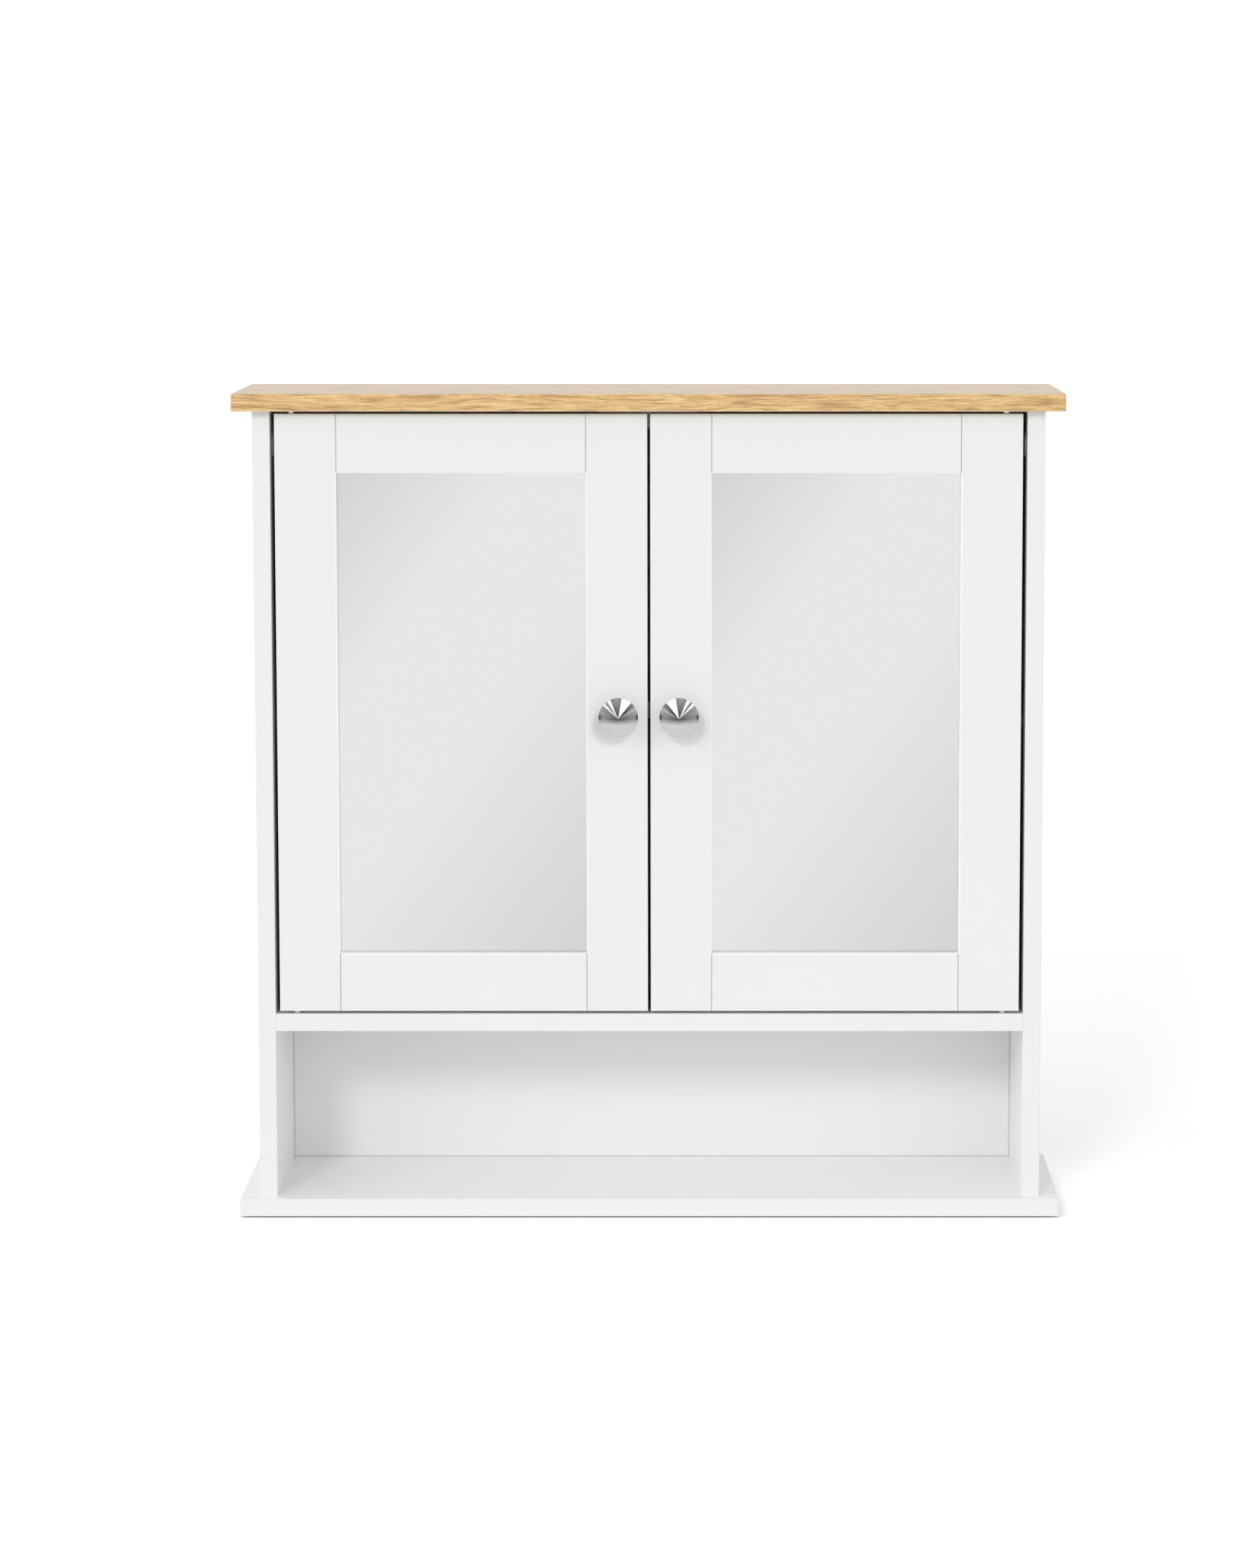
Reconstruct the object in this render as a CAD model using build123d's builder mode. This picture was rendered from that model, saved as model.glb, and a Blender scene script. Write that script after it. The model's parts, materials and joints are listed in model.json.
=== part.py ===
from build123d import *
import os
from typing import NamedTuple

# Bathroom wall cabinet with two mirrored doors above an open niche.
# Millimetres. +Z is up, the doors face -Y and the wall is on the +Y side.
# The origin is the centre of the underside of the bottom board.

os.makedirs("parts", exist_ok=True)

# Carcass sizes
overall_width = 560
overall_depth = 130
board_thickness = 12
side_overhang = 13
front_overhang = 8
niche_height = 115
cupboard_height = 412
board_arris = 0.6

# Back panel in its grooves
back_thickness = 3
back_setback = 4.5
groove_depth = 5
groove_clearance = 0.1
back_end_clearance = 0.4
back_front_clearance = 0.2

# Hanging rail and its holes for the wall screws
rail_height = 50
wall_hole_diameter = 5
wall_hole_spacing = 400
wall_hole_drop = 25

# Adjustable shelf and its pins
shelf_height = 200
shelf_front_setback = 25
shelf_back_clearance = 2
shelf_end_clearance = 2
pin_diameter = 5
pin_depth = 8
pin_reach = 8
pin_collar_diameter = 8
pin_collar_thickness = 1.5
pin_inset = 14
pin_pitch = 32
pin_rows = 3
pin_seat_clearance = 0.05

# Doors
side_gap = 3
centre_gap = 2
door_end_gap = 2
door_thickness = 15
stile_width = 41.5
door_rail_width = 40
door_arris = 0.5

# Mirrors, held in a rebate behind the front of the frame
ledge_thickness = 6
rebate_width = 8
glass_thickness = 3
glass_clearance = 0.5
backing_thickness = 3
point_grip = 7
point_reach = 6
point_width = 10
point_thickness = 0.8
point_spacing = 110
point_clearance = 0.1

# Door pivots
pivot_inset = 11
pivot_diameter = 4
pivot_running_clearance = 0.06
pivot_depth = 8
pivot_collar_diameter = 5
pivot_collar_clearance = 0.1
bush_diameter = 9
bush_length = 10
bush_end_clearance = 0.5

# Knobs
knob_diameter = 26.5
knob_height = 22
knob_cone_height = 7
knob_rim = 1.4
knob_rim_arris = 0.4
knob_base_diameter = 14
knob_base_thickness = 1.5
knob_neck_diameter = 9
knob_neck_length = 1
knob_inset = 19.5
knob_screw_diameter = 4
knob_screw_bite = 7
knob_screw_hole_diameter = 4.3
knob_screw_head_diameter = 8
knob_screw_head_height = 2.4
knob_screw_head_round = 0.8
knob_screw_recess = 1.2
knob_screw_end_clearance = 1

# Double magnetic catch under the top board, and the strike plates on the doors
catch_width = 46
catch_depth = 14
catch_height = 13
catch_ear_width = 10
catch_ear_depth = 10
catch_ear_thickness = 3
catch_arris = 0.8
magnet_width = 10
magnet_depth = 8
magnet_height = 5
pole_thickness = 1.2
pole_overlap = 1
pole_proud = 0.3
catch_air_gap = 0.3
pocket_clearance = 0.2
strike_width = 14
strike_length = 29
strike_thickness = 1.2
strike_end_gap = 1
strike_centre = 12
strike_corner = 2
strike_arris = 0.3
strike_screw_drop = 23

# Wood screws
catch_screw_diameter = 3
catch_screw_length = 9.5
catch_screw_head_diameter = 6
catch_screw_head_height = 1.8
strike_screw_diameter = 3
strike_screw_length = 11
strike_screw_head_diameter = 5.6
base_screw_diameter = 4
base_screw_length = 38
base_screw_head_diameter = 8
base_screw_sink = 0.4
base_screw_front_inset = 19
base_screw_rear_inset = 19.5

# Dowels and cam fittings
dowel_diameter = 6
dowel_short_end = 8
dowel_long_end = 17
dowel_end_clearance = 0.5
dowel_chamfer = 0.7
frame_dowel_half = 14
frame_dowel_edge = 9
frame_dowel_pitch = 13
shelf_dowel_inset = 20
cam_diameter = 15
cam_seat_depth = 9.5
cam_recess = 0.3
cam_setback = 24
cam_front_inset = 22
cam_rear_inset = 10.5
cam_passage_diameter = 7
cam_head_diameter = 6
cam_head_length = 3
cam_neck_diameter = 4
cam_thread_diameter = 6
cam_thread_length = 8.5
cam_collar_length = 1.5
cover_diameter = 17
cover_thickness = 1
rail_dowel_drop = 13
rail_cam_drop = 37
fastener_clearance = 0.1

# Heights and faces that follow from the sizes above
half_width = overall_width / 2
outer_half = half_width - side_overhang
inner_half = outer_half - board_thickness
panel_mid = outer_half - board_thickness / 2
rear_y = overall_depth / 2
front_y = front_overhang - rear_y
niche_floor_z = board_thickness
shelf_under_z = niche_floor_z + niche_height
cupboard_floor_z = shelf_under_z + board_thickness
ceiling_z = cupboard_floor_z + cupboard_height
top_z = ceiling_z + board_thickness
back_rear_y = rear_y - back_setback
back_front_y = back_rear_y - back_thickness
fixed_rear_y = back_front_y - back_front_clearance
board_mid_y = (front_y + fixed_rear_y) / 2
rail_front_y = fixed_rear_y - board_thickness
wall_hole_z = ceiling_z - wall_hole_drop

door_rear_y = front_y + door_thickness
door_bottom_z = cupboard_floor_z + door_end_gap
door_top_z = ceiling_z - door_end_gap
door_mid_z = (door_bottom_z + door_top_z) / 2
lock_edge = centre_gap / 2
hinge_edge = inner_half - side_gap
lock_joint = lock_edge + stile_width
hinge_joint = hinge_edge - stile_width
opening_bottom_z = door_bottom_z + door_rail_width
opening_top_z = door_top_z - door_rail_width
pivot_x = hinge_edge - pivot_inset
pivot_y = front_y + door_thickness / 2
glass_front_y = front_y + ledge_thickness
glass_rear_y = glass_front_y + glass_thickness
backing_rear_y = glass_rear_y + backing_thickness
knob_x = lock_edge + knob_inset

adjustable_z = cupboard_floor_z + shelf_height
adjustable_front_y = front_y + shelf_front_setback
adjustable_rear_y = back_front_y - shelf_back_clearance
pin_z = adjustable_z - pin_diameter / 2 - pin_seat_clearance
strike_rear_y = door_rear_y + strike_thickness
strike_top_z = door_top_z - strike_end_gap
strike_screw_z = strike_top_z - strike_screw_drop
pole_front_y = strike_rear_y + catch_air_gap
catch_front_y = pole_front_y + pole_proud
catch_rear_y = catch_front_y + catch_depth
catch_mid_y = (catch_front_y + catch_rear_y) / 2
magnet_mid_z = ceiling_z - catch_height / 2
pole_width = magnet_width + 2 * pole_overlap
pole_depth = magnet_depth + 2 * pole_overlap
magnet_front_y = pole_front_y + pole_overlap
ear_mid_x = (catch_width + catch_ear_width) / 2

SIDES = {"left": -1, "right": 1}
DOWN = Vector(0, 0, -1)
UP = Vector(0, 0, 1)
FRONTWARD = Vector(0, -1, 0)
REARWARD = Vector(0, 1, 0)
HANGING = (Align.CENTER, Align.CENTER, Align.MAX)
STANDING = (Align.CENTER, Align.CENTER, Align.MIN)
FROM_CORNER = (Align.MIN, Align.MIN, Align.MIN)


class Dowel(NamedTuple):
    """A dowel crosses the seam between two boards; direction is the way its short end points."""
    seam: Vector
    direction: Vector


class CamJoint(NamedTuple):
    """A cam lock sits in a face and pulls on a bolt that crosses the seam."""
    face: Vector
    normal: Vector
    seam: Vector
    direction: Vector


def block(x_limits, y_limits, z_limits, mode=Mode.ADD):
    """A straight block between three pairs of limits, each pair in either order."""
    lows = [min(pair) for pair in (x_limits, y_limits, z_limits)]
    highs = [max(pair) for pair in (x_limits, y_limits, z_limits)]
    size = [high - low for low, high in zip(lows, highs)]
    with Locations(tuple(lows)):
        Box(*size, align=FROM_CORNER, mode=mode)


def drill(mouth, outward, diameter, depth):
    """A round blind hole; outward points out of its mouth."""
    with Locations(Plane(origin=mouth, z_dir=outward)):
        Hole(diameter / 2, depth)


def cross_recess(plane, length, depth):
    """A cross slot for a screwdriver, cut into the face that the plane lies on."""
    with Locations(plane):
        Box(length, length / 4, 2 * depth, mode=Mode.SUBTRACT)
        Box(length / 4, length, 2 * depth, mode=Mode.SUBTRACT)


def wood_screw(plane, diameter, length, head_diameter, head_height=0):
    """A pointed screw below the plane, with a flat conical head or a round one above."""
    radius = diameter / 2
    cone_height = (head_diameter - diameter) / 2
    with Locations(plane):
        Cylinder(radius, length - diameter, align=HANGING)
        with Locations((0, 0, diameter - length)):
            Cone(radius / 4, radius, diameter, align=HANGING)
        if head_height > 0:
            Cylinder(head_diameter / 2, head_height, align=STANDING)
        else:
            Cone(radius, head_diameter / 2, cone_height, align=HANGING)
    cross_recess(plane.offset(head_height), head_diameter / 2, cone_height / 2)


def dowel_hole(seam, outward, length):
    """The hole for one end of a dowel."""
    drill(seam, outward, dowel_diameter + 2 * fastener_clearance, length + dowel_end_clearance)


def dowel_pin(dowel, back_length, ahead_length):
    """A round wooden pin that reaches back and ahead of its seam."""
    with Locations(Plane(origin=dowel.seam - dowel.direction * back_length, z_dir=dowel.direction)):
        Cylinder(dowel_diameter / 2, back_length + ahead_length, align=STANDING)


def cut_cam_seat(joint):
    """The pocket for a cam lock and the passage for its bolt."""
    drill(joint.face, joint.normal, cam_diameter + 2 * fastener_clearance, cam_seat_depth)
    drill(joint.seam, joint.direction, cam_passage_diameter, cam_setback)


def cut_bolt_hole(joint):
    """The hole in the other board, which the bolt is screwed into."""
    hole_diameter = cam_thread_diameter + 2 * fastener_clearance
    drill(joint.seam, -joint.direction, hole_diameter, cam_thread_length + dowel_end_clearance)


def save(piece, name):
    """Label a finished piece and write it to its own file."""
    piece.part.label = name
    export_step(piece.part, f"parts/{name}.step")


def side_point(side, x, y, z):
    """A point at a distance x from the middle plane, on the given side."""
    return Vector(side * x, y, z)


# Where the dowels and the cam fittings of the carcass are

panel_top_dowels = {}
panel_base_dowels = {}
shelf_dowels = {}
rail_dowels = {}
panel_cams = {}
shelf_cams = {}
rail_cams = {}
for side_name, side in SIDES.items():
    outward = Vector(side, 0, 0)
    inward = -outward
    shelf_mid_z = shelf_under_z + board_thickness / 2
    rail_mid_y = rail_front_y + board_thickness / 2
    rail_cam_z = ceiling_z - rail_cam_drop
    panel_top_dowels[side_name] = [Dowel(side_point(side, panel_mid, board_mid_y, ceiling_z), UP)]
    panel_base_dowels[side_name] = [Dowel(side_point(side, panel_mid, board_mid_y, niche_floor_z), DOWN)]
    shelf_dowels[side_name] = [
        Dowel(side_point(side, inner_half, y, shelf_mid_z), outward)
        for y in (front_y + shelf_dowel_inset, fixed_rear_y - shelf_dowel_inset)
    ]
    rail_dowels[side_name] = [
        Dowel(side_point(side, inner_half, rail_mid_y, ceiling_z - rail_dowel_drop), outward)
    ]
    panel_cams[side_name] = [
        CamJoint(
            face=side_point(side, inner_half, y, ceiling_z - cam_setback),
            normal=inward,
            seam=side_point(side, panel_mid, y, ceiling_z),
            direction=UP,
        )
        for y in (front_y + cam_front_inset, rail_front_y - cam_rear_inset)
    ]
    shelf_cams[side_name] = [
        CamJoint(
            face=side_point(side, inner_half - cam_setback, board_mid_y, shelf_under_z),
            normal=DOWN,
            seam=side_point(side, inner_half, board_mid_y, shelf_mid_z),
            direction=outward,
        )
    ]
    rail_cams[side_name] = [
        CamJoint(
            face=side_point(side, inner_half - cam_setback, rail_front_y, rail_cam_z),
            normal=FRONTWARD,
            seam=side_point(side, inner_half, rail_mid_y, rail_cam_z),
            direction=outward,
        )
    ]

all_dowels = [
    dowel
    for group in (panel_top_dowels, panel_base_dowels, shelf_dowels, rail_dowels)
    for dowels in group.values()
    for dowel in dowels
]
all_cams = [
    joint
    for group in (panel_cams, shelf_cams, rail_cams)
    for joints in group.values()
    for joint in joints
]
pivot_feet = [side_point(side, pivot_x, pivot_y, cupboard_floor_z) for side in SIDES.values()]
pivot_heads = [side_point(side, pivot_x, pivot_y, ceiling_z) for side in SIDES.values()]
pivot_hole = pivot_diameter + 2 * fastener_clearance
pin_hole = pin_diameter + 2 * fastener_clearance
catch_pilot = catch_screw_diameter + 2 * fastener_clearance
base_pilot = base_screw_diameter + 2 * fastener_clearance
catch_pilot_depth = catch_screw_length - catch_ear_thickness + dowel_end_clearance
base_pilot_depth = base_screw_length - niche_floor_z + 2 * dowel_end_clearance
base_screw_points = [
    side_point(side, panel_mid, y, base_screw_sink)
    for side in SIDES.values()
    for y in (front_y + base_screw_front_inset, back_front_y - base_screw_rear_inset)
]
catch_screw_points = [side_point(side, ear_mid_x, catch_mid_y, ceiling_z) for side in SIDES.values()]
groove_y = (back_front_y - groove_clearance, back_rear_y + groove_clearance)
groove_half = inner_half + groove_depth

# Top board

with BuildPart() as top_board:
    block((-half_width, half_width), (-rear_y, rear_y), (ceiling_z, top_z))
    fillet(top_board.edges(), board_arris)
    block((-groove_half, groove_half), groove_y, (ceiling_z, ceiling_z + groove_depth), Mode.SUBTRACT)
    for side_name in SIDES:
        for dowel in panel_top_dowels[side_name]:
            dowel_hole(dowel.seam, -dowel.direction, dowel_short_end)
        for joint in panel_cams[side_name]:
            cut_bolt_hole(joint)
    for point in pivot_heads:
        drill(point, DOWN, pivot_hole, pivot_depth + dowel_end_clearance)
    for point in catch_screw_points:
        drill(point, DOWN, catch_pilot, catch_pilot_depth)
save(top_board, "top_board")

# Bottom board

with BuildPart() as bottom_board:
    block((-half_width, half_width), (-rear_y, rear_y), (0, board_thickness))
    fillet(bottom_board.edges(), board_arris)
    groove_z = (board_thickness - groove_depth, board_thickness)
    block((-groove_half, groove_half), groove_y, groove_z, Mode.SUBTRACT)
    for side_name in SIDES:
        for dowel in panel_base_dowels[side_name]:
            dowel_hole(dowel.seam, -dowel.direction, dowel_short_end)
    for point in base_screw_points:
        with Locations(Plane(origin=point - UP * fastener_clearance, z_dir=DOWN)):
            CounterSinkHole(
                base_screw_diameter / 2 + fastener_clearance,
                base_screw_head_diameter / 2 + 2 * fastener_clearance,
                counter_sink_angle=90,
            )
save(bottom_board, "bottom_board")

# Side panels

for side_name, side in SIDES.items():
    outward = Vector(side, 0, 0)
    inward = -outward
    panel_x = (side * inner_half, side * outer_half)
    with BuildPart() as side_panel:
        block(panel_x, (front_y, rear_y), (niche_floor_z, ceiling_z))
        fillet(side_panel.edges().filter_by(Axis.Z).group_by(Axis.Y)[0], board_arris)
        block((side * inner_half, side * groove_half), groove_y, (niche_floor_z, ceiling_z), Mode.SUBTRACT)
        for dowel in panel_top_dowels[side_name] + panel_base_dowels[side_name]:
            dowel_hole(dowel.seam, dowel.direction, dowel_long_end)
        for dowel in shelf_dowels[side_name] + rail_dowels[side_name]:
            dowel_hole(dowel.seam, -dowel.direction, dowel_short_end)
        for joint in panel_cams[side_name]:
            cut_cam_seat(joint)
        for joint in shelf_cams[side_name] + rail_cams[side_name]:
            cut_bolt_hole(joint)
        for row in range(pin_rows):
            row_z = pin_z + (row - pin_rows // 2) * pin_pitch
            for y in (adjustable_front_y + pin_inset, adjustable_rear_y - pin_inset):
                mouth = side_point(side, inner_half, y, row_z)
                drill(mouth, inward, pin_hole, pin_depth + dowel_end_clearance)
        for point in base_screw_points:
            if point.X * side > 0:
                drill(Vector(point.X, point.Y, niche_floor_z), DOWN, base_pilot, base_pilot_depth)
    save(side_panel, f"{side_name}_side_panel")

# Middle shelf, the floor of the cupboard and the roof of the niche

with BuildPart() as middle_shelf:
    block((-inner_half, inner_half), (front_y, fixed_rear_y), (shelf_under_z, cupboard_floor_z))
    fillet(middle_shelf.edges().filter_by(Axis.X).group_by(Axis.Y)[0], board_arris)
    for side_name in SIDES:
        for dowel in shelf_dowels[side_name]:
            dowel_hole(dowel.seam, dowel.direction, dowel_long_end)
        for joint in shelf_cams[side_name]:
            cut_cam_seat(joint)
    for point in pivot_feet:
        drill(point, UP, pivot_hole, pivot_depth + dowel_end_clearance)
save(middle_shelf, "middle_shelf")

# Adjustable shelf inside the cupboard

with BuildPart() as adjustable_shelf:
    shelf_half = inner_half - shelf_end_clearance
    shelf_z = (adjustable_z, adjustable_z + board_thickness)
    block((-shelf_half, shelf_half), (adjustable_front_y, adjustable_rear_y), shelf_z)
    fillet(adjustable_shelf.edges().filter_by(Axis.X), board_arris)
save(adjustable_shelf, "adjustable_shelf")

# Back panel

with BuildPart() as back_panel:
    back_half = groove_half - back_end_clearance
    back_z = (
        niche_floor_z - groove_depth + back_end_clearance,
        ceiling_z + groove_depth - back_end_clearance,
    )
    block((-back_half, back_half), (back_front_y, back_rear_y), back_z)
    for side in SIDES.values():
        point = side_point(side, wall_hole_spacing / 2, back_rear_y, wall_hole_z)
        drill(point, REARWARD, wall_hole_diameter, 2 * back_thickness)
save(back_panel, "back_panel")

# Hanging rail, which the wall screws go through

with BuildPart() as hanging_rail:
    rail_y = (rail_front_y, fixed_rear_y)
    block((-inner_half, inner_half), rail_y, (ceiling_z - rail_height, ceiling_z))
    fillet(hanging_rail.edges().filter_by(Axis.X).group_by(Axis.Z)[0], board_arris)
    for side_name, side in SIDES.items():
        point = side_point(side, wall_hole_spacing / 2, fixed_rear_y, wall_hole_z)
        drill(point, REARWARD, wall_hole_diameter, 2 * board_thickness)
        for dowel in rail_dowels[side_name]:
            dowel_hole(dowel.seam, dowel.direction, dowel_long_end)
        for joint in rail_cams[side_name]:
            cut_cam_seat(joint)
save(hanging_rail, "hanging_rail")

# Dowels of the carcass

with BuildPart() as wood_dowels:
    for dowel in all_dowels:
        dowel_pin(dowel, dowel_long_end, dowel_short_end)
    chamfer(wood_dowels.edges().filter_by(GeomType.CIRCLE), dowel_chamfer)
save(wood_dowels, "wood_dowels")

# Cam bolts: a threaded end, a collar, a thin neck and a head for the cam to pull on

with BuildPart() as cam_bolts:
    for joint in all_cams:
        with Locations(Plane(origin=joint.seam, z_dir=joint.direction)):
            Cylinder(cam_thread_diameter / 2, cam_thread_length, align=STANDING)
            Cylinder(cam_thread_diameter / 2, cam_collar_length, align=HANGING)
            Cylinder(cam_neck_diameter / 2, cam_setback, align=HANGING)
            with Locations((0, 0, -cam_setback)):
                Cylinder(cam_head_diameter / 2, cam_head_length)
save(cam_bolts, "cam_bolts")

# Cam locks: round bodies, hollow around the bolt's head and open towards its neck

with BuildPart() as cam_locks:
    for joint in all_cams:
        lock_face = Plane(origin=joint.face - joint.normal * cam_recess, z_dir=joint.normal)
        bolt_axis = Plane(origin=joint.seam - joint.direction * cam_setback, z_dir=joint.direction)
        head_room = 4 * fastener_clearance
        with Locations(lock_face):
            Cylinder(cam_diameter / 2, cam_seat_depth - 2 * cam_recess, align=HANGING)
        with Locations(bolt_axis):
            Cylinder(cam_head_diameter / 2 + head_room, cam_head_length + head_room, mode=Mode.SUBTRACT)
            Cylinder(cam_neck_diameter / 2 + head_room, cam_setback, align=STANDING, mode=Mode.SUBTRACT)
        cross_recess(lock_face, cam_head_diameter, 4 * cam_recess)
save(cam_locks, "cam_locks")

# Cam covers: thin stick-on caps over the cam locks

with BuildPart() as cam_covers:
    for joint in all_cams:
        with Locations(Plane(origin=joint.face, z_dir=joint.normal)):
            cap_base = cover_thickness / 2
            Cylinder(cover_diameter / 2, cap_base, align=STANDING)
            with Locations((0, 0, cap_base)):
                Cone(cover_diameter / 2, cover_diameter / 2 - cover_thickness, cap_base, align=STANDING)
save(cam_covers, "cam_covers")

# Screws that hold the bottom board to the side panels

with BuildPart() as base_screws:
    for point in base_screw_points:
        head_face = Plane(origin=point, z_dir=DOWN)
        wood_screw(head_face, base_screw_diameter, base_screw_length, base_screw_head_diameter)
save(base_screws, "base_screws")

# Shelf pins, in the middle row of their holes

with BuildPart() as shelf_pins:
    for side in SIDES.values():
        for y in (adjustable_front_y + pin_inset, adjustable_rear_y - pin_inset):
            with Locations(Plane(origin=side_point(side, inner_half, y, pin_z), z_dir=(-side, 0, 0))):
                Cylinder(pin_diameter / 2, pin_depth, align=HANGING)
                Cylinder(pin_collar_diameter / 2, pin_collar_thickness, align=STANDING)
                Cylinder(pin_diameter / 2, pin_collar_thickness + pin_reach, align=STANDING)
save(shelf_pins, "shelf_pins")

# Pivot pins: pressed into the boards, with a collar that keeps the door off the board

with BuildPart() as pivot_pins:
    collar_thickness = door_end_gap - pivot_collar_clearance
    seats = [Plane(origin=point, z_dir=UP) for point in pivot_feet]
    seats += [Plane(origin=point, z_dir=DOWN) for point in pivot_heads]
    with Locations(*seats):
        Cylinder(pivot_diameter / 2, pivot_depth, align=HANGING)
        Cylinder(pivot_collar_diameter / 2, collar_thickness, align=STANDING)
        Cylinder(pivot_diameter / 2, door_end_gap + pivot_depth, align=STANDING)
save(pivot_pins, "pivot_pins")

# Double magnetic catch

with BuildPart() as catch_body:
    catch_z = (ceiling_z - catch_height, ceiling_z)
    block((-catch_width / 2, catch_width / 2), (catch_front_y, catch_rear_y), catch_z)
    fillet(catch_body.edges().group_by(Axis.Z)[0], catch_arris)
    ear_half = catch_width / 2 + catch_ear_width
    ear_y = (catch_mid_y - catch_ear_depth / 2, catch_mid_y + catch_ear_depth / 2)
    block((-ear_half, ear_half), ear_y, (ceiling_z - catch_ear_thickness, ceiling_z))
    for side in SIDES.values():
        pocket_x = [side * strike_centre + sign * (pole_width / 2 + pocket_clearance) for sign in (-1, 1)]
        pocket_y = (catch_front_y - pocket_clearance, pole_front_y + pole_depth + pocket_clearance)
        pocket_half = magnet_height / 2 + pole_thickness + pocket_clearance
        pocket_z = (magnet_mid_z - pocket_half, magnet_mid_z + pocket_half)
        block(pocket_x, pocket_y, pocket_z, Mode.SUBTRACT)
    for point in catch_screw_points:
        drill(point, UP, catch_screw_diameter + 4 * fastener_clearance, 2 * catch_ear_thickness)
save(catch_body, "catch_body")

with BuildPart() as catch_magnets:
    for side in SIDES.values():
        magnet_x = [side * strike_centre + sign * magnet_width / 2 for sign in (-1, 1)]
        magnet_y = (magnet_front_y, magnet_front_y + magnet_depth)
        magnet_z = (magnet_mid_z - magnet_height / 2, magnet_mid_z + magnet_height / 2)
        block(magnet_x, magnet_y, magnet_z)
save(catch_magnets, "catch_magnets")

with BuildPart() as catch_pole_plates:
    for side in SIDES.values():
        for level in (-1, 1):
            plate_x = [side * strike_centre + sign * pole_width / 2 for sign in (-1, 1)]
            plate_z = [magnet_mid_z + level * (magnet_height / 2 + rise) for rise in (0, pole_thickness)]
            block(plate_x, (pole_front_y, pole_front_y + pole_depth), plate_z)
save(catch_pole_plates, "catch_pole_plates")

with BuildPart() as catch_screws:
    for point in catch_screw_points:
        wood_screw(
            Plane(origin=point - UP * catch_ear_thickness, z_dir=DOWN),
            catch_screw_diameter,
            catch_screw_length,
            catch_screw_head_diameter,
            catch_screw_head_height,
        )
save(catch_screws, "catch_screws")


# Doors


def glass_pocket(side):
    """Cut the rebate, which is wider than the opening all round and open to the rear."""
    pocket_x = (side * (lock_joint - rebate_width), side * (hinge_joint + rebate_width))
    pocket_z = (opening_bottom_z - rebate_width, opening_top_z + rebate_width)
    block(pocket_x, (glass_front_y, door_rear_y + rebate_width), pocket_z, Mode.SUBTRACT)


def glazing_planes(side):
    """Where the glazing points enter the walls of the rebate; x runs into the wall."""
    mid_x = (lock_joint + hinge_joint) / 2
    level_y = backing_rear_y + point_thickness / 2
    planes = []
    for height in (door_mid_z - point_spacing, door_mid_z, door_mid_z + point_spacing):
        lock_wall = side_point(side, lock_joint - rebate_width, level_y, height)
        hinge_wall = side_point(side, hinge_joint + rebate_width, level_y, height)
        planes.append(Plane(origin=lock_wall, x_dir=(-side, 0, 0), z_dir=REARWARD))
        planes.append(Plane(origin=hinge_wall, x_dir=(side, 0, 0), z_dir=REARWARD))
    sill = side_point(side, mid_x, level_y, opening_bottom_z - rebate_width)
    head = side_point(side, mid_x, level_y, opening_top_z + rebate_width)
    planes.append(Plane(origin=sill, x_dir=DOWN, z_dir=REARWARD))
    planes.append(Plane(origin=head, x_dir=UP, z_dir=REARWARD))
    return planes


def glazing_slots(side):
    """Cut the slots that the glazing points are driven into."""
    slot_width = point_width + 2 * point_clearance
    slot_thickness = point_thickness + 2 * point_clearance
    with Locations(*glazing_planes(side)):
        with Locations((-point_clearance, 0, 0)):
            Box(
                point_grip + 2 * point_clearance,
                slot_width,
                slot_thickness,
                align=(Align.MIN, Align.CENTER, Align.CENTER),
                mode=Mode.SUBTRACT,
            )


def frame_dowels_at(side, joint_x, direction):
    """The dowels in the two corner joints at one stile."""
    dowels = []
    for step in range(2):
        edge = frame_dowel_edge + step * frame_dowel_pitch
        for z in (door_bottom_z + edge, door_top_z - edge):
            seam = side_point(side, joint_x, pivot_y, z)
            dowels.append(Dowel(seam, Vector(side * direction, 0, 0)))
    return dowels


def stile(side, edge_x, joint_x, dowels):
    """A full-height upright of the door frame."""
    with BuildPart() as upright:
        upright_x = (side * edge_x, side * joint_x)
        block(upright_x, (front_y, door_rear_y), (door_bottom_z, door_top_z))
        chamfer(upright.edges().group_by(Axis.Y)[0], door_arris)
        glass_pocket(side)
        glazing_slots(side)
        for dowel in dowels:
            dowel_hole(dowel.seam, -dowel.direction, frame_dowel_half)
    return upright


def cross_rail(side, z_limits, dowels):
    """A rail between the two stiles."""
    with BuildPart() as rail:
        block((side * lock_joint, side * hinge_joint), (front_y, door_rear_y), z_limits)
        chamfer(rail.edges().group_by(Axis.Y)[0], door_arris)
        glass_pocket(side)
        glazing_slots(side)
        for dowel in dowels:
            if min(z_limits) < dowel.seam.Z < max(z_limits):
                dowel_hole(dowel.seam, dowel.direction, frame_dowel_half)
    return rail


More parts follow.
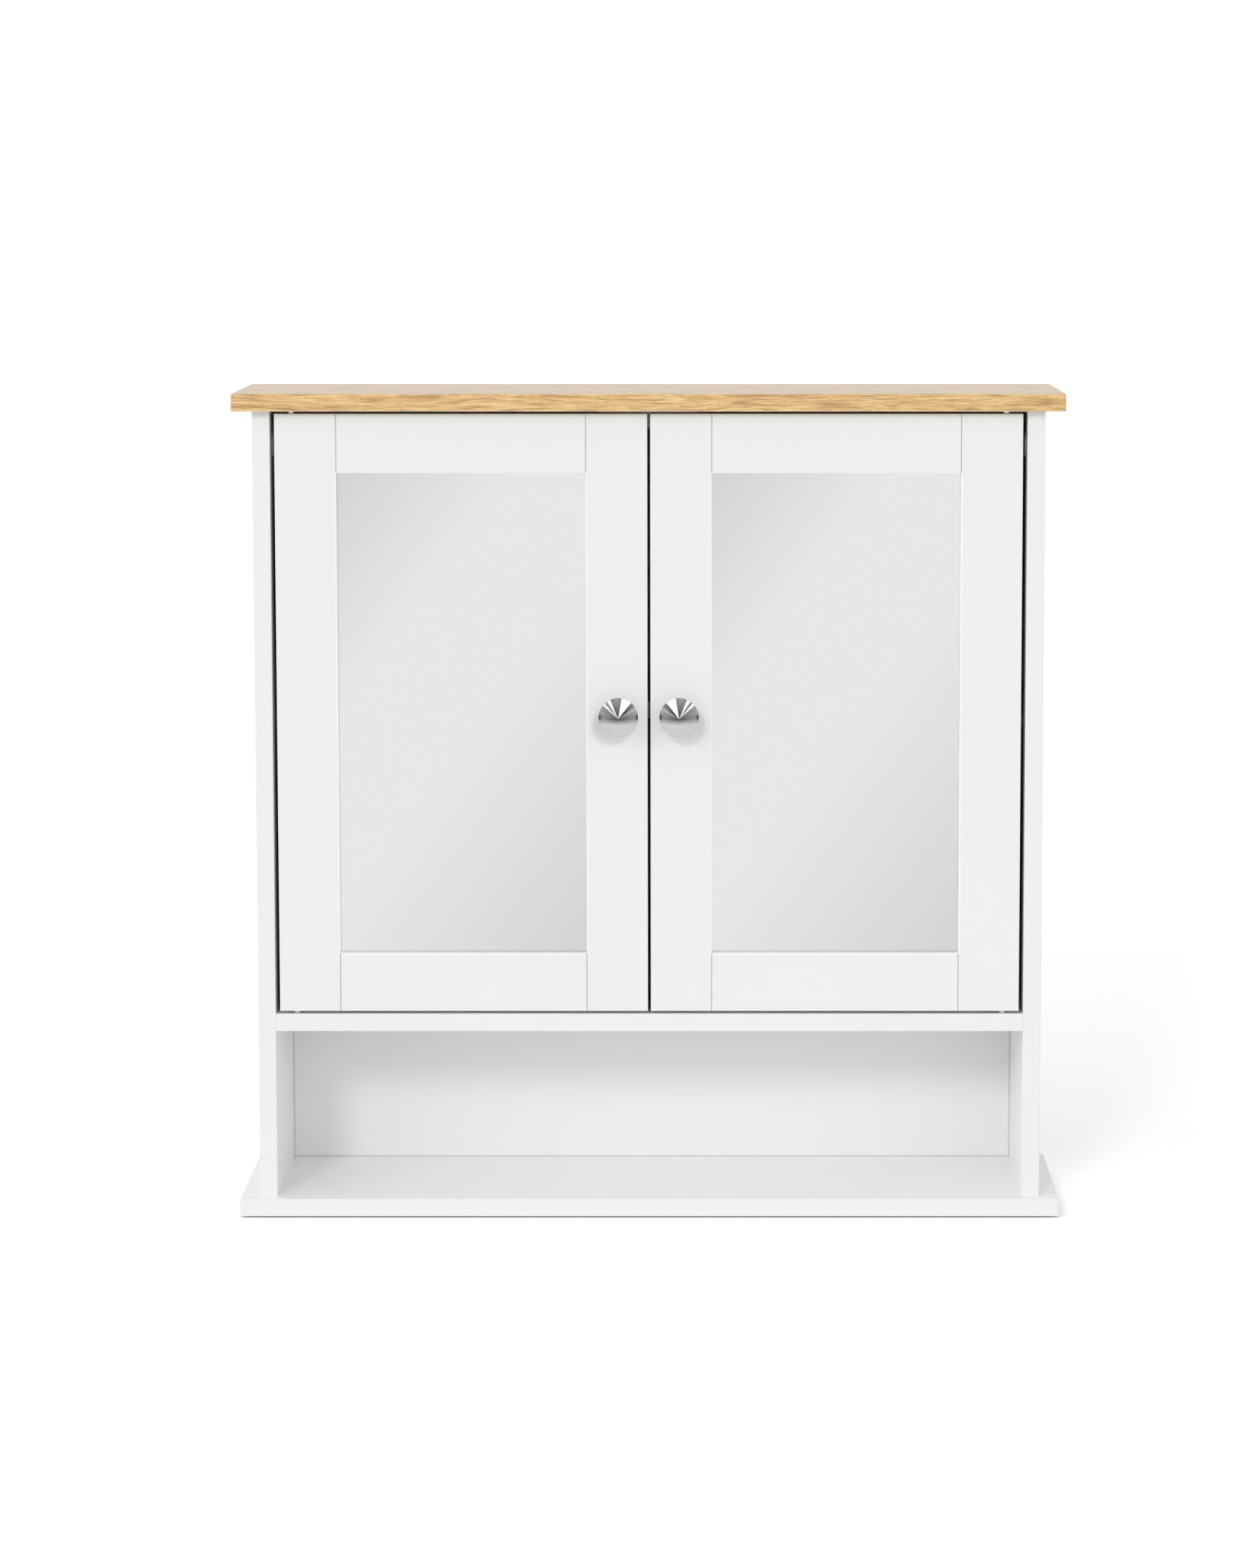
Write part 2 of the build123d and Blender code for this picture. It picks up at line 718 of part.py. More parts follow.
def knob_profile():
    """Half of the knob's section: foot, waisted neck, rim and the pointed front."""
    foot = knob_base_diameter / 2
    neck = knob_neck_diameter / 2
    rim = knob_diameter / 2
    rim_top = knob_height - knob_cone_height
    rim_back = rim_top - knob_rim
    neck_start = knob_base_thickness + (foot - neck)
    neck_end = neck_start + knob_neck_length
    with BuildLine() as outline:
        Line((0, 0), (foot, 0))
        Line((foot, 0), (foot, knob_base_thickness))
        RadiusArc((foot, knob_base_thickness), (neck, neck_start), foot - neck)
        Line((neck, neck_start), (neck, neck_end))
        TangentArc((neck, neck_end), (rim - knob_rim_arris, rim_back), tangent=(0, 1))
        Line((rim - knob_rim_arris, rim_back), (rim, rim_back + knob_rim_arris))
        Line((rim, rim_back + knob_rim_arris), (rim, rim_top - knob_rim_arris))
        Line((rim, rim_top - knob_rim_arris), (rim - knob_rim_arris, rim_top))
        Line((rim - knob_rim_arris, rim_top), (0, knob_height))
        Line((0, knob_height), (0, 0))
    return outline


for side_name, side in SIDES.items():
    hinge_dowels = frame_dowels_at(side, hinge_joint, 1)
    lock_dowels = frame_dowels_at(side, lock_joint, -1)

    # Hinge stile, with the holes for the pivot bushes in its two ends
    hinge_stile = stile(side, hinge_edge, hinge_joint, hinge_dowels)
    bush_seats = [
        Plane(origin=side_point(side, pivot_x, pivot_y, door_bottom_z), z_dir=DOWN),
        Plane(origin=side_point(side, pivot_x, pivot_y, door_top_z), z_dir=UP),
    ]
    with hinge_stile:
        for seat in bush_seats:
            bush_hole = bush_diameter + 2 * fastener_clearance
            drill(seat.origin, seat.z_dir, bush_hole, bush_length + bush_end_clearance)
    save(hinge_stile, f"{side_name}_hinge_stile")

    # Lock stile, with the holes for the knob screw and the strike screw
    lock_stile = stile(side, lock_edge, lock_joint, lock_dowels)
    knob_seat = side_point(side, knob_x, front_y, door_mid_z)
    strike_screw_point = side_point(side, strike_centre, strike_rear_y, strike_screw_z)
    with lock_stile:
        drill(knob_seat, FRONTWARD, knob_screw_hole_diameter, 2 * door_thickness)
        pilot = strike_screw_diameter + 2 * fastener_clearance
        drill(strike_screw_point, REARWARD, pilot, strike_screw_length + dowel_end_clearance)
    save(lock_stile, f"{side_name}_lock_stile")

    # Rails
    top_rail = cross_rail(side, (opening_top_z, door_top_z), hinge_dowels + lock_dowels)
    save(top_rail, f"{side_name}_top_rail")
    bottom_rail = cross_rail(side, (door_bottom_z, opening_bottom_z), hinge_dowels + lock_dowels)
    save(bottom_rail, f"{side_name}_bottom_rail")

    with BuildPart() as frame_dowels:
        for dowel in hinge_dowels + lock_dowels:
            dowel_pin(dowel, frame_dowel_half, frame_dowel_half)
        chamfer(frame_dowels.edges().filter_by(GeomType.CIRCLE), dowel_chamfer)
    save(frame_dowels, f"{side_name}_frame_dowels")

    # Mirror and its backing, with a little room round their edges in the rebate
    glass_margin = rebate_width - glass_clearance
    glass_x = (side * (lock_joint - glass_margin), side * (hinge_joint + glass_margin))
    glass_z = (opening_bottom_z - glass_margin, opening_top_z + glass_margin)
    with BuildPart() as mirror_glass:
        block(glass_x, (glass_front_y, glass_rear_y), glass_z)
    save(mirror_glass, f"{side_name}_mirror_glass")

    with BuildPart() as mirror_backing:
        block(glass_x, (glass_rear_y, backing_rear_y), glass_z)
    save(mirror_backing, f"{side_name}_mirror_backing")

    # Glazing points: thin plates driven into the frame behind the backing
    with BuildPart() as glazing_points:
        with Locations(*glazing_planes(side)):
            with Locations((-point_reach, 0, 0)):
                Box(
                    point_reach + point_grip,
                    point_width,
                    point_thickness,
                    align=(Align.MIN, Align.CENTER, Align.CENTER),
                )
    save(glazing_points, f"{side_name}_glazing_points")

    # Pivot bushes, which turn on the pivot pins
    with BuildPart() as pivot_bushes:
        with Locations(*bush_seats):
            Cylinder(bush_diameter / 2, bush_length, align=HANGING)
            Hole(pivot_diameter / 2 + pivot_running_clearance, 2 * bush_length)
    save(pivot_bushes, f"{side_name}_pivot_bushes")

    # Knob: turned metal, screwed on from behind the door
    knob_plane = Plane(origin=knob_seat, x_dir=(1, 0, 0), z_dir=DOWN)
    with BuildPart() as knob:
        with BuildSketch(knob_plane):
            make_face(knob_profile().line.edges())
        revolve(axis=Axis(knob_seat, FRONTWARD))
        knob_bore = knob_screw_diameter + 2 * fastener_clearance
        drill(knob_seat, REARWARD, knob_bore, knob_screw_bite + knob_screw_end_clearance)
    save(knob, f"{side_name}_knob")

    with BuildPart() as knob_screw:
        screw_head = Plane(origin=side_point(side, knob_x, door_rear_y, door_mid_z), z_dir=REARWARD)
        with Locations(screw_head):
            Cylinder(knob_screw_diameter / 2, door_thickness + knob_screw_bite, align=HANGING)
            Cylinder(knob_screw_head_diameter / 2, knob_screw_head_height, align=STANDING)
        fillet(knob_screw.edges().group_by(Axis.Y)[-1], knob_screw_head_round)
        cross_recess(screw_head.offset(knob_screw_head_height), knob_screw_diameter, knob_screw_recess)
    save(knob_screw, f"{side_name}_knob_screw")

    # Strike plate on the rear of the lock stile, facing the magnets
    with BuildPart() as strike_plate:
        plate_x = [side * strike_centre + sign * strike_width / 2 for sign in (-1, 1)]
        block(plate_x, (door_rear_y, strike_rear_y), (strike_top_z - strike_length, strike_top_z))
        fillet(strike_plate.edges().filter_by(Axis.Y), strike_corner)
        chamfer(strike_plate.edges().group_by(Axis.Y)[-1], strike_arris)
        with Locations(Plane(origin=strike_screw_point, z_dir=REARWARD)):
            CounterSinkHole(
                strike_screw_diameter / 2 + fastener_clearance,
                strike_screw_head_diameter / 2 + fastener_clearance,
                counter_sink_angle=90,
            )
    save(strike_plate, f"{side_name}_strike_plate")

    with BuildPart() as strike_screw:
        wood_screw(
            Plane(origin=strike_screw_point, z_dir=REARWARD),
            strike_screw_diameter,
            strike_screw_length,
            strike_screw_head_diameter,
        )
    save(strike_screw, f"{side_name}_strike_screw")
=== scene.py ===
import json
import math

import bpy
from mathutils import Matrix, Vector


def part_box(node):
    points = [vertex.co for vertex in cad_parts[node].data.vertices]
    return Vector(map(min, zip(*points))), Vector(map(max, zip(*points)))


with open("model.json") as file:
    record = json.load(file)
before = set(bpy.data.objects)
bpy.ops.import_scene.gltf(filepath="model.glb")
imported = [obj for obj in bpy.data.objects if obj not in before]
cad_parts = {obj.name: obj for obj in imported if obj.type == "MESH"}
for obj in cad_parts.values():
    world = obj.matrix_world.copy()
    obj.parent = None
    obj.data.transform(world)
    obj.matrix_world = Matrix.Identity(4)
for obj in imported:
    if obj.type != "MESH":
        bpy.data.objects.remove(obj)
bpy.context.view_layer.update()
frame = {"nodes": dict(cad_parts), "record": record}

# Bathroom wall cabinet with two mirrored doors: the finish of every piece, and the studio round it.
# Metres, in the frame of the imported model: +Z is up, the doors face -Y and the wall is on the +Y side.
# A finish is worked out in millimetres of that frame. Only the depth of its relief is in metres.

millimetres_a_metre = 1000
micron = 0.000001
UP = (0, 0, 1)
AHEAD = (0, -1, 0)
BACK = (0, 1, 0)
LEFT = (-1, 0, 0)
RIGHT = (1, 0, 0)

# Camera: the photograph's frame is 1725 x 2156 pixels, and its long side is the sensor's
camera_place = (0.0375, -2.7871, 0.7072)
camera_pitch = 5.88
camera_lens = 93.28
camera_shift = (-0.0490, -0.12)

# Lamps: degrees to the left of the doors' normal and above the floor, and degrees across
LAMPS = {
    "key": {"left": 18, "up": 27, "softness": 12, "strength": 0.64},
    "left_door_key": {"left": -18, "up": 27, "softness": 12, "strength": 0.64},
    "front": {"left": 0, "up": 8, "softness": 30, "strength": 0.04},
    "left": {"left": 60, "up": 25, "softness": 60, "strength": 0.85},
    "right": {"left": -40, "up": 15, "softness": 60, "strength": 0.62},
}

# World and floor
white = (1, 1, 1, 1)
backdrop_strength = 1.0
ambient_strength = 0.48
floor_size = 60
floor_drop = 0.0012
floor_white = (0.93, 0.93, 0.93, 1)
floor_glow = 0.40
floor_glow_mirrored = 0.312
floor_contact = 0.012
contact_samples = 8

# How squarely a face must look in a direction to count as looking that way: the least cosine
square_enough = 0.6
oak_square_enough = 0.7

# Where the values of soft noise mostly lie, in fine patterns and in broad clouds
FINE = (0.3, 0.7)
BROAD = (0.35, 0.65)

# Lines that the finishes draw, in millimetres from the joint, corner or edge: a joint hairline, a painted
# shade in the niche's corners and two painted highlights
joint_line = 0.3
corner_shade_line = 0.7
oak_highlight_line = 0.5
opening_highlight_line = 0.9

# White boards and lacquer: how much grey their faint clouds take
cloud_tint = 0.03

# Oak foil: the waves of each pattern in a millimetre, along the grain and across it; the third isn't used
OAK_PATTERNS = {
    "wave": {"waves": (0.012, 0.05, 1), "detail": 1},
    "ripple": {"waves": (0.045, 0.12, 1), "detail": 2},
    "band": {"waves": (0.006, 0.16, 1), "detail": 2},
    "streak": {"waves": (0.036, 0.62, 1), "detail": 3, "roughness": 0.6},
    "fibre": {"waves": (0.12, 2.6, 1), "detail": 2},
    "pore": {"waves": (0.16, 2.9, 1), "detail": 1},
    "warmth": {"waves": (0.05, 0.45, 1), "detail": 1},
}

# Oak foil: how far waves and ripples push the grain, in millimetres
wave_sway = 8.5
ripple_sway = 2.2

# Oak foil: how much each pattern counts in its light and dark, and how strong each tint is over that
streak_share = 0.72
band_share = 0.18
fibre_share = 0.16
warm_tint = 0.55
pore_tint = 0.55
# The tint on top is a painted grey of reflection and shade, and the tint on the edges a painted highlight
painted_top_tint = 0.22
oak_highlight_tint = 0.5
streak_relief = 0.35

# Hardboard: the pitch of the press screen on its rear in millimetres, and how much each relief counts
screen_pitch = 1.6
weave_relief = 0.5
lacquer_relief = 0.08
fleck_tint = 0.4

# Beech: how strong its rays are
ray_tint = 0.4

# Mirrors: how much right and down count in the run of the painted reflection across the glass, and its
# places along it, in mm
painted_sheen_right = 0.8
painted_sheen_down = 0.6
PAINTED_SHEEN_RISE = (10, 110)
PAINTED_SHEEN_FALL = (188, 341)

# Knobs: streaks in half a turn and in a millimetre outwards, and turning rings in a millimetre
knob_streaks = 60.0
knob_streaks_outwards = 0.35
knob_rings = 9.0

# Knobs: how far the streaks turn the painted reflection wedges, in half turns, their contrast in each half,
# and the lower tone
wedge_shift = 0.012
wedge_contrast = 0.22
lower_contrast = 0.10
lower_tone = 0.60

# Knobs: where the painted reflection wedges fade in, in millimetres above the middle, and how frayed that
# is
WEDGES_START = (-4.6, -0.6)
start_fray = 3.0

# The left knob's painted reflections: degrees counter-clockwise from its right-hand side, and how light
# each is
PAINTED_KNOB_REFLECTIONS = [
    (0, 0.16),
    (18, 0.21),
    (26, 0.36),
    (32, 0.28),
    (38, 0.03),
    (48, 0.02),
    (51, 1.0),
    (78, 1.0),
    (82, 0.11),
    (98, 0.16),
    (112, 0.10),
    (116, 0.95),
    (123, 0.95),
    (127, 0.10),
    (132, 0.14),
    (135, 0.95),
    (139, 0.95),
    (144, 0.14),
    (160, 0.22),
    (180, 0.16),
]


def srgb(red, green, blue):
    """A colour as written in a picture, 0 to 255, as linear light."""
    shares = [level / 255 for level in (red, green, blue)]
    linear = [s / 12.92 if s <= 0.04045 else ((s + 0.055) / 1.055) ** 2.4 for s in shares]
    return (*linear, 1)


# Whites: the front one is painted shade on faces that look ahead, and on the boards also their edge banding
inner_white = srgb(252, 252, 252)
shaded_front_white = srgb(239, 239, 239)


def box_mm(node):
    """A node's lowest and highest corners, in millimetres."""
    return [corner * millimetres_a_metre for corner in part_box(node)]


class Tree:
    """A node tree, built node by node."""

    def __init__(self, tree):
        self.tree = tree

    def node(self, kind, inputs, **settings):
        """Adds a node; inputs maps a socket's name or number to a value or to another node's output."""
        made = self.tree.nodes.new(kind)
        for name, value in settings.items():
            setattr(made, name, value)
        for key, value in inputs.items():
            self.feed(made.inputs[key], value)
        return made

    def feed(self, socket, value):
        """Sets a socket, or links it where the value is an output."""
        if isinstance(value, bpy.types.NodeSocket):
            self.tree.links.new(value, socket)
        else:
            socket.default_value = value

    def calculate(self, operation, first, second=0.0, third=0.0):
        """One operation on numbers."""
        inputs = {0: first, 1: second, 2: third}
        return self.node("ShaderNodeMath", inputs, operation=operation).outputs[0]

    def plus(self, first, second):
        """The two added."""
        return self.calculate("ADD", first, second)

    def minus(self, first, second):
        """The second taken from the first."""
        return self.calculate("SUBTRACT", first, second)

    def times(self, first, second):
        """The two multiplied."""
        return self.calculate("MULTIPLY", first, second)

    def times_plus(self, first, second, third):
        """The first two multiplied, plus the third."""
        return self.calculate("MULTIPLY_ADD", first, second, third)

    def most(self, first, second):
        """The larger of the two."""
        return self.calculate("MAXIMUM", first, second)

    def absolute(self, value):
        """The value without its sign."""
        return self.calculate("ABSOLUTE", value)

    def inverse(self, share):
        """What a share leaves of 1."""
        return self.minus(1.0, share)

    def seen_by(self, *rays):
        """1 for a ray of any of these kinds, and else 0."""
        path = self.node("ShaderNodeLightPath", {})
        seen = path.outputs[rays[0]]
        for kind in rays[1:]:
            seen = self.most(seen, path.outputs[kind])
        return seen


class Finish(Tree):
    """A material, built node by node around its own shader."""

    def __init__(self, name):
        self.material = bpy.data.materials.new(name)
        self.material.use_nodes = True
        super().__init__(self.material.node_tree)
        self.shader = self.tree.nodes["Principled BSDF"]

    def coat(self, **inputs):
        """Sets the shader's own sockets; an underscore stands for a space."""
        for name, value in inputs.items():
            self.feed(self.shader.inputs[name.replace("_", " ")], value)

    def place(self):
        """Where a point of the surface is, in millimetres of the object's own frame."""
        source = self.node("ShaderNodeTexCoord", {})
        return self.scaled(source.outputs["Object"], (millimetres_a_metre,) * 3)

    def looks(self, direction, least=square_enough):
        """1 where the surface looks in a direction of the object's own frame, and else 0."""
        source = self.node("ShaderNodeTexCoord", {})
        inputs = {0: source.outputs["Normal"], 1: direction}
        cosine = self.node("ShaderNodeVectorMath", inputs, operation="DOT_PRODUCT").outputs["Value"]
        return self.above(cosine, least)

    def parts(self, vector):
        """The three numbers of a vector."""
        return self.node("ShaderNodeSeparateXYZ", {0: vector}).outputs

    def vector(self, x, y, z):
        """A vector from three numbers."""
        return self.node("ShaderNodeCombineXYZ", {0: x, 1: y, 2: z}).outputs[0]

    def scaled(self, vector, scale):
        """A vector, stretched along each axis."""
        return self.node("ShaderNodeMapping", {"Vector": vector, "Scale": scale}).outputs[0]

    def noise(self, vector, scale=1.0, detail=2.0, roughness=0.5):
        """Soft noise from 0 to 1; scale is in waves a millimetre."""
        inputs = {"Vector": vector, "Scale": scale, "Detail": detail, "Roughness": roughness}
        return self.node("ShaderNodeTexNoise", inputs).outputs["Fac"]

    def pattern(self, vector, waves, detail, roughness=0.5):
        """Soft noise from 0 to 1, with its own waves a millimetre along each axis."""
        return self.noise(self.scaled(vector, waves), detail=detail, roughness=roughness)

    def spread(self, value, low, high, to_low=0.0, to_high=1.0):
        """Maps low..high to another range, and holds it there."""
        inputs = {0: value, 1: low, 2: high, 3: to_low, 4: to_high}
        return self.node("ShaderNodeMapRange", inputs, clamp=True).outputs[0]

    def vary(self, noise, usual, first, second):
        """A number from first to second, as noise goes over the range where its values usually lie."""
        return self.spread(noise, *usual, first, second)

    def above(self, value, limit):
        """1 over the limit, and else 0."""
        return self.calculate("GREATER_THAN", value, limit)

    def below(self, value, limit):
        """1 under the limit, and else 0."""
        return self.calculate("LESS_THAN", value, limit)

    def near(self, value, place, reach):
        """1 within reach of a place, and else 0."""
        return self.below(self.absolute(self.minus(value, place)), reach)

    def within(self, value, low, high):
        """1 between the two limits, and else 0."""
        return self.times(self.above(value, low), self.below(value, high))

    def ramp(self, value, stops):
        """A grey that follows a list of (place from 0 to 1, tone) stops."""
        made = self.node("ShaderNodeValToRGB", {0: value})
        stretch = made.color_ramp.elements
        for place, tone in stops[1:-1]:
            stretch.new(place)
        for stop, (place, tone) in zip(stretch, stops):
            stop.position = place
            stop.color = (tone, tone, tone, 1)
        return made.outputs[0]

    def blend(self, share, first, second):
        """A mix of two colours."""
        made = self.node("ShaderNodeMix", {0: share, 6: first, 7: second}, data_type="RGBA")
        return made.outputs[2]

    def bump(self, height, depth):
        """A normal from a height of 0 to 1 that is depth metres deep."""
        inputs = {"Height": height, "Distance": depth, "Strength": 1.0}
        return self.node("ShaderNodeBump", inputs).outputs[0]


def oak_grain(f, place):
    """A point's place along the grain, which turns at the board's ends, and across it with its sway."""
    x, y, z = f.parts(place)
    on_end = f.most(f.looks(LEFT, oak_square_enough), f.looks(RIGHT, oak_square_enough))
    off_end = f.inverse(on_end)
    along = f.plus(f.times(x, off_end), f.times(y, on_end))
    across = f.times_plus(y, off_end, z)
    plain = f.vector(along, across, 0.0)
    wave = f.pattern(plain, **OAK_PATTERNS["wave"])
    ripple = f.pattern(plain, **OAK_PATTERNS["ripple"])
    sway = f.plus(f.times(wave, wave_sway), f.times(ripple, ripple_sway))
    return f.vector(along, f.plus(across, sway), 0.0)


def oak_colour(f, grain, streak, fibre, pore):
    """The foil's printed colour: light and dark streaks, warmer patches and dark pores."""
    dark, light = srgb(182, 143, 86), srgb(243, 208, 146)
    warm, pore_brown = srgb(228, 184, 128), srgb(150, 110, 62)
    band = f.pattern(grain, **OAK_PATTERNS["band"])
    tone = f.plus(f.times(streak, streak_share), f.times(band, band_share))
    tone = f.spread(f.times_plus(fibre, fibre_share, tone), low=0.44, high=0.61)
    warmth = f.pattern(grain, **OAK_PATTERNS["warmth"])
    warm_share = f.spread(warmth, low=0.42, high=0.60, to_low=0.0, to_high=warm_tint)
    body = f.blend(warm_share, f.blend(tone, dark, light), warm)
    return f.blend(f.times(pore, pore_tint), body, pore_brown)


def oak_board():
    """Oak-effect foil: wavy streaks along the board, short dark pores and a satin seal, with a painted grey
    of reflection and shade on top and a painted highlight along the long edges.
    """
    painted_top_grey, highlight_cream = srgb(150, 138, 120), srgb(246, 232, 204)
    f = Finish("oak_board")
    place = f.place()
    grain = oak_grain(f, place)
    streak = f.pattern(grain, **OAK_PATTERNS["streak"])
    fibre = f.pattern(grain, **OAK_PATTERNS["fibre"])
    pore = f.spread(f.pattern(grain, **OAK_PATTERNS["pore"]), low=0.60, high=0.70)
    # Painted reflection and shade: the top face takes a grey over the oak's colour
    upward = f.looks(UP, oak_square_enough)
    colour = f.blend(f.times(upward, painted_top_tint), oak_colour(f, grain, streak, fibre, pore), painted_top_grey)
    z = f.parts(place)[2]
    low, high = box_mm("top_board")
    # Painted highlight: a light cream along the top and bottom edges of the faces that don't look up
    at_edge = f.most(f.above(z, high.z - oak_highlight_line), f.below(z, low.z + oak_highlight_line))
    edge_highlight = f.times(at_edge, f.inverse(upward))
    relief = f.minus(f.times(streak, streak_relief), pore)
    f.coat(
        Base_Color=f.blend(f.times(edge_highlight, oak_highlight_tint), colour, highlight_cream),
        Roughness=f.vary(fibre, FINE, 0.36, 0.47),
        Coat_Weight=0.4,
        Coat_Roughness=0.2,
        Normal=f.bump(relief, 20 * micron),
    )
    return f.material


def white_surface(f, face, front, roughness, pitch, depth):
    """A satin white with its own tone on the edges that face the doors' way; the callers make that tone
    mostly a greyer white, as painted shade.

    The pitch is the width of its fine texture in millimetres, and the depth is its height in metres."""
    cloud_grey = srgb(200, 200, 200)
    place = f.place()
    cloud = f.pattern(place, waves=(0.011, 0.011, 0.011), detail=3)
    skin = f.noise(place, scale=1 / pitch, detail=2, roughness=0.6)
    tone = f.blend(f.looks(AHEAD), face, front)
    f.coat(
        Base_Color=f.blend(f.vary(cloud, BROAD, 0.0, cloud_tint), tone, cloud_grey),
        Roughness=f.vary(skin, FINE, roughness - 0.04, roughness + 0.05),
        Normal=f.bump(skin, depth),
    )
    return f.material


def white_board():
    """White melamine with the fine pearl texture of its press plate, and banded front edges in a greyer
    white that is also painted shade against the lighter inner faces.
    """
    f = Finish("white_board")
    return white_surface(f, inner_white, shaded_front_white, roughness=0.32, pitch=0.9, depth=6 * micron)


def white_paint():
    """White lacquer on the door frames: a hairline where each rail meets its stiles, a painted highlight
    round the mirror's opening, and a greyer white on the fronts as painted shade."""
    joint_grey = srgb(196, 196, 196)
    f = Finish("white_paint")
    low, high = box_mm("right_top_rail")
    lower_rail_top = box_mm("right_bottom_rail")[1].z
    x, y, z = f.parts(f.place())
    out = f.absolute(x)
    at_rail_end = f.most(f.near(out, low.x, joint_line), f.near(out, high.x, joint_line))
    beside_rail = f.most(f.above(z, low.z), f.below(z, lower_rail_top))
    # Painted highlight: the lighter inner white on the fronts, in a band round the mirror's opening
    beside = f.within(out, low.x - opening_highlight_line, high.x + opening_highlight_line)
    level = f.within(z, lower_rail_top - opening_highlight_line, low.z + opening_highlight_line)
    front = f.blend(f.times(beside, level), shaded_front_white, inner_white)
    front = f.blend(f.times(at_rail_end, beside_rail), front, joint_grey)
    return white_surface(f, inner_white, front, roughness=0.36, pitch=1.6, depth=5 * micron)


def pressed_fibres(f, place):
    """The brown of hardboard, and its fibres as a height from 0 to 1."""
    dark, light, fleck = srgb(112, 78, 50), srgb(158, 118, 80), srgb(84, 56, 34)
    fibres = f.pattern(place, waves=(0.9, 0.9, 0.35), detail=4, roughness=0.7)
    flecks = f.spread(f.pattern(place, waves=(2.2, 2.2, 0.5), detail=2), low=0.58, high=0.72)
    brown = f.blend(f.times(flecks, fleck_tint), f.blend(fibres, dark, light), fleck)
    return brown, fibres


def screened(f, place, fibres):
    """The height of hardboard's fibres, with the weave of the press screen on the rear."""
    x, y, z = f.parts(place)
    turn = 2 * math.pi / screen_pitch
    weave = f.times(f.calculate("SINE", f.times(x, turn)), f.calculate("SINE", f.times(z, turn)))
    return f.times_plus(f.times(weave, f.looks(BACK)), weave_relief, fibres)


def brown_hardboard():
    """Bare hardboard behind each mirror."""
    f = Finish("brown_hardboard")
    place = f.place()
    brown, fibres = pressed_fibres(f, place)
    f.coat(
        Base_Color=brown,
        Roughness=f.vary(fibres, FINE, 0.66, 0.8),
        Normal=f.bump(screened(f, place, fibres), 80 * micron),
    )
    return f.material


def back_hardboard():
    """Hardboard with white lacquer in front, and a painted shade line where it meets the niche's floor and
    sides.
    """
    lacquer, corner_shade_grey = srgb(243, 243, 243), srgb(208, 208, 208)
    f = Finish("back_hardboard")
    place = f.place()
    x, y, z = f.parts(place)
    brown, fibres = pressed_fibres(f, place)
    niche_floor = box_mm("bottom_board")[1].z
    niche_side = box_mm("right_side_panel")[0].x
    # Painted shade: a grey line along the back's edges in the niche's corners
    at_floor = f.below(z, niche_floor + corner_shade_line)
    at_side = f.above(f.absolute(x), niche_side - corner_shade_line)
    front = f.blend(f.most(at_floor, at_side), lacquer, corner_shade_grey)
    ahead = f.looks(AHEAD)
    skin = f.noise(place, scale=0.8, detail=2)
    rear_relief = f.times(screened(f, place, fibres), f.inverse(ahead))
    f.coat(
        Base_Color=f.blend(ahead, brown, front),
        Roughness=f.spread(ahead, 0, 1, to_low=0.72, to_high=0.42),
        Normal=f.bump(f.times_plus(skin, lacquer_relief, rear_relief), 80 * micron),
    )
    return f.material


def beech():
    """Pale dowel wood with short fine rays."""
    dark, light, ray_brown = srgb(206, 164, 120), srgb(233, 201, 160), srgb(176, 128, 84)
    f = Finish("beech")
    place = f.place()
    fibre = f.pattern(place, waves=(0.25, 2.2, 2.2), detail=3)
    rays = f.spread(f.pattern(place, waves=(0.7, 3.6, 3.6), detail=1), low=0.6, high=0.72)
    f.coat(
        Base_Color=f.blend(f.times(rays, ray_tint), f.blend(fibre, dark, light), ray_brown),
        Roughness=f.vary(fibre, FINE, 0.55, 0.68),
        Normal=f.bump(fibre, 40 * micron),
    )
    return f.material


def mirror_glass(name, node):
    """Silvered glass: a painted diagonal reflection across the mirror, and pale green ground edges."""
    dim, bright, ground_green = srgb(209, 211, 212), srgb(230, 231, 233), srgb(150, 182, 168)
    low, high = box_mm(node)
    f = Finish(name)
    place = f.place()
    x, y, z = f.parts(place)
    # Painted reflection: a soft diagonal band of the brighter tint across the glass, fixed to it
    right = f.times(f.minus(x, low.x), painted_sheen_right)
    down = f.times(f.minus(high.z, z), painted_sheen_down)
    run = f.plus(right, down)
    painted_sheen = f.minus(f.spread(run, *PAINTED_SHEEN_RISE), f.spread(run, *PAINTED_SHEEN_FALL))
    edge = f.inverse(f.most(f.looks(AHEAD), f.looks(BACK)))
    ripple = f.pattern(place, waves=(0.01, 0.01, 0.01), detail=1)
    f.coat(
        Base_Color=f.blend(edge, f.blend(painted_sheen, dim, bright), ground_green),
        Metallic=f.inverse(edge),
        Roughness=f.spread(edge, 0, 1, to_low=0.015, to_high=0.35),
        Normal=f.bump(ripple, 10 * micron),
    )
    return f.material


def metal(name, dark, light, roughness, scratch):
    """Plated metal with fine scratches, scratch metres deep, and slightly cloudy plating."""
    f = Finish(name)
    place = f.place()
    cloud = f.noise(place, scale=0.25, detail=3)
    lines = f.pattern(place, waves=(0.6, 0.6, 6.0), detail=3)
    f.coat(
        Base_Color=f.blend(f.spread(cloud, *BROAD), dark, light),
        Metallic=1.0,
        Roughness=f.vary(lines, FINE, roughness, roughness + 0.12),
        Normal=f.bump(lines, scratch),
    )
    return f.material


def zinc_steel():
    """The bluish plating of the screws, shelf pins and fittings."""
    return metal("zinc_steel", srgb(172, 175, 180), srgb(208, 210, 212), roughness=0.26, scratch=6 * micron)


def pin_steel():
    """The light plating of the pivot pins."""
    return metal("pin_steel", srgb(228, 228, 226), srgb(244, 244, 242), roughness=0.3, scratch=3 * micron)


